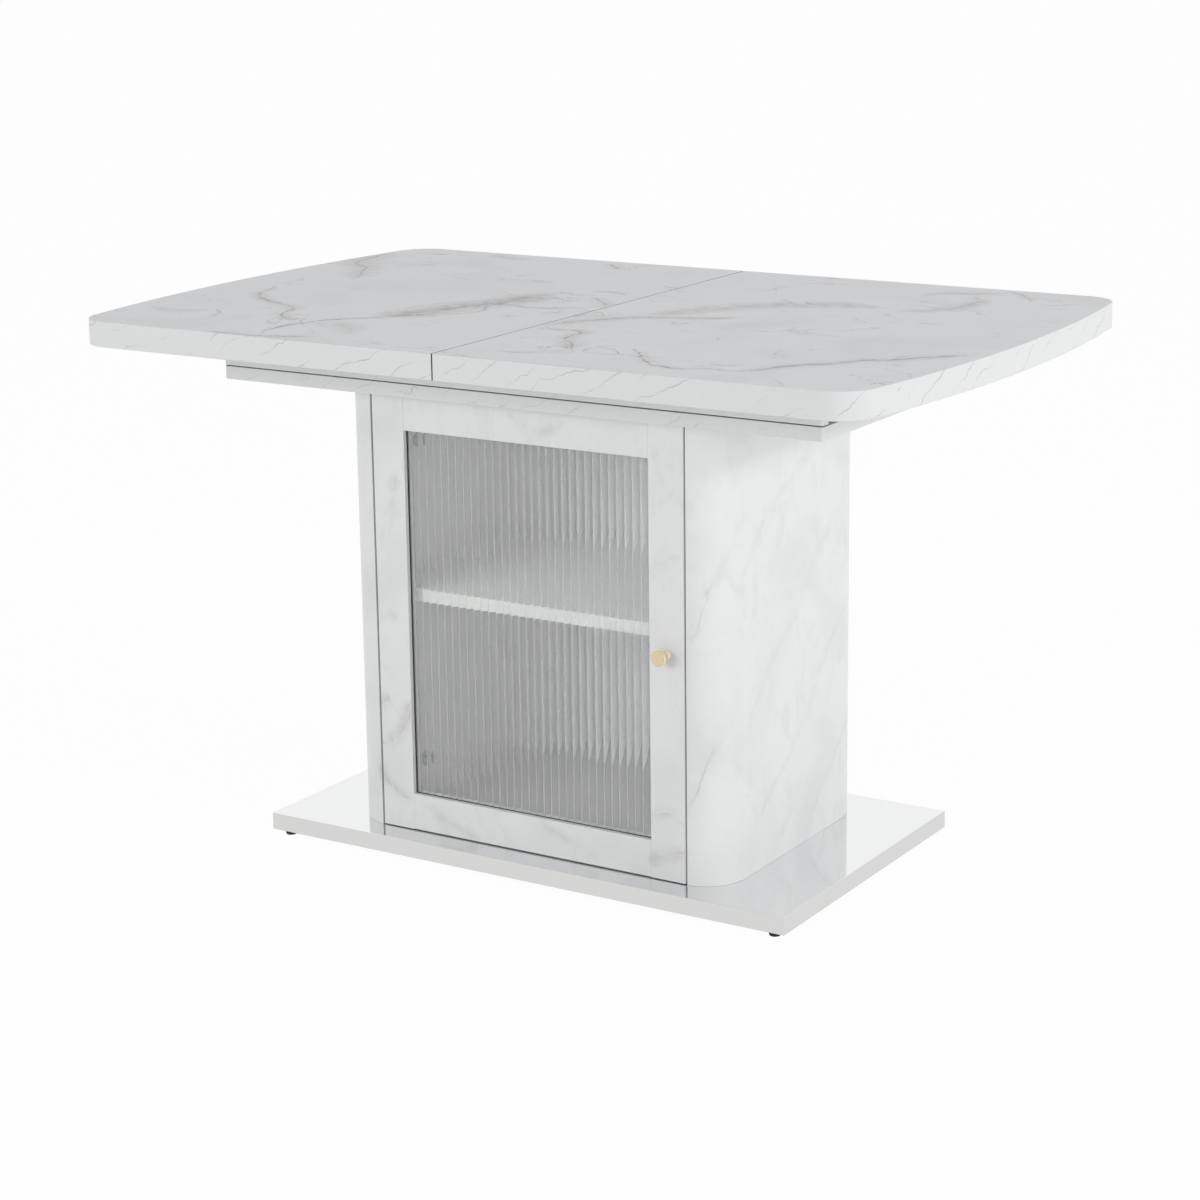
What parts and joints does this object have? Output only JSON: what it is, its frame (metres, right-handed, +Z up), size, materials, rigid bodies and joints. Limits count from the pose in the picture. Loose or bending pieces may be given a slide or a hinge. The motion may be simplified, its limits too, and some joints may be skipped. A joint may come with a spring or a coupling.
{
  "type": "kitchen table with storage cabinet",
  "caption": "Extending pedestal kitchen table: a split bow-ended top on a storage cabinet with rounded corners, a reeded-glass door and a polished base plate.",
  "frame": {"origin": "on the floor under the middle of the table", "axes": "+X along the table's length to the right, +Y to the back, +Z up; the door faces -Y"},
  "size_m": [1.2358, 0.8, 0.75],
  "materials": {
    "marble_laminate": "white marble-look laminate on board, satin, faint grey-beige veins",
    "white_board": "plain white melamine board, satin",
    "zinc_hardware": "zinc-plated steel, satin",
    "polished_steel": "polished stainless sheet, mirror bright",
    "slide_aluminium": "drawn aluminium, satin",
    "reeded_glass": "clear glass with upright reeds on the front",
    "black_gasket": "matt black",
    "knob_brass": "polished warm gold",
    "catch_plastic": "white",
    "foot_plastic": "moulded black",
    "pad_felt": "grey felt"
  },
  "bodies": {
    "cabinet": {"carrier_board": "marble_laminate", "front_apron_rail": "marble_laminate", "back_apron_rail": "marble_laminate", "left_apron_rail": "marble_laminate", "right_apron_rail": "marble_laminate", "left_side_panel": "marble_laminate", "right_side_panel": "marble_laminate", "back_panel": "marble_laminate", "leaf_lower_panel": "marble_laminate", "leaf_upper_panel": "marble_laminate", "left_gable": "white_board", "right_gable": "white_board", "left_spacer_blocks": "white_board", "right_spacer_blocks": "white_board", "cabinet_floor": "white_board", "cabinet_deck": "white_board", "shelf": "white_board", "base_core": "white_board", "hinge_plates": "zinc_hardware", "hinge_arms": "zinc_hardware", "hinge_plate_screws": "zinc_hardware", "carcass_screws": "zinc_hardware", "back_panel_screws": "zinc_hardware", "shelf_pins": "zinc_hardware", "catch_screws": "zinc_hardware", "catch_magnet": "zinc_hardware", "carrier_bolts": "zinc_hardware", "apron_screws": "zinc_hardware", "foot_inserts": "zinc_hardware", "leaf_hinges": "zinc_hardware", "base_cladding": "polished_steel", "front_slide_channel": "slide_aluminium", "back_slide_channel": "slide_aluminium", "catch_housing": "catch_plastic", "leaf_pads": "pad_felt"},
    "door": {"door_stile_left": "marble_laminate", "door_stile_right": "marble_laminate", "door_rail_top": "marble_laminate", "door_rail_bottom": "marble_laminate", "door_glass": "reeded_glass", "glass_gasket": "black_gasket", "glazing_beads": "white_board", "hinge_cups": "zinc_hardware", "hinge_pins": "zinc_hardware", "hinge_cup_screws": "zinc_hardware", "door_knob": "knob_brass", "knob_screw": "zinc_hardware", "strike_plate": "zinc_hardware"},
    "left_half": {"left_top": "marble_laminate", "left_runners": "slide_aluminium", "left_runner_screws": "zinc_hardware", "top_pins": "zinc_hardware"},
    "right_half": {"right_top": "marble_laminate", "right_runners": "slide_aluminium", "right_runner_screws": "zinc_hardware"},
    "foot_front_left": {"foot_front_left": "foot_plastic"},
    "foot_front_right": {"foot_front_right": "foot_plastic"},
    "foot_back_left": {"foot_back_left": "foot_plastic"},
    "foot_back_right": {"foot_back_right": "foot_plastic"}
  },
  "joints": [
    {"name": "door_hinge", "type": "hinge", "parent": "cabinet", "child": "door", "pos_m": [-0.221, -0.19, 0.3421], "axis": [0, 0, -1], "range_deg": [0, 95]},
    {"name": "left_top_slide", "type": "slide", "parent": "cabinet", "child": "left_half", "axis": [-1, 0, 0], "range_m": [0, 0.2]},
    {"name": "right_top_slide", "type": "slide", "parent": "cabinet", "child": "right_half", "axis": [1, 0, 0], "range_m": [0, 0.2]},
    {"name": "foot_front_left_turn", "type": "hinge", "parent": "cabinet", "child": "foot_front_left", "pos_m": [-0.39, -0.225, 0], "axis": [0, 0, 1], "continuous": true},
    {"name": "foot_front_right_turn", "type": "hinge", "parent": "cabinet", "child": "foot_front_right", "pos_m": [0.39, -0.225, 0], "axis": [0, 0, 1], "continuous": true},
    {"name": "foot_back_left_turn", "type": "hinge", "parent": "cabinet", "child": "foot_back_left", "pos_m": [-0.39, 0.225, 0], "axis": [0, 0, 1], "continuous": true},
    {"name": "foot_back_right_turn", "type": "hinge", "parent": "cabinet", "child": "foot_back_right", "pos_m": [0.39, 0.225, 0], "axis": [0, 0, 1], "continuous": true}
  ]
}
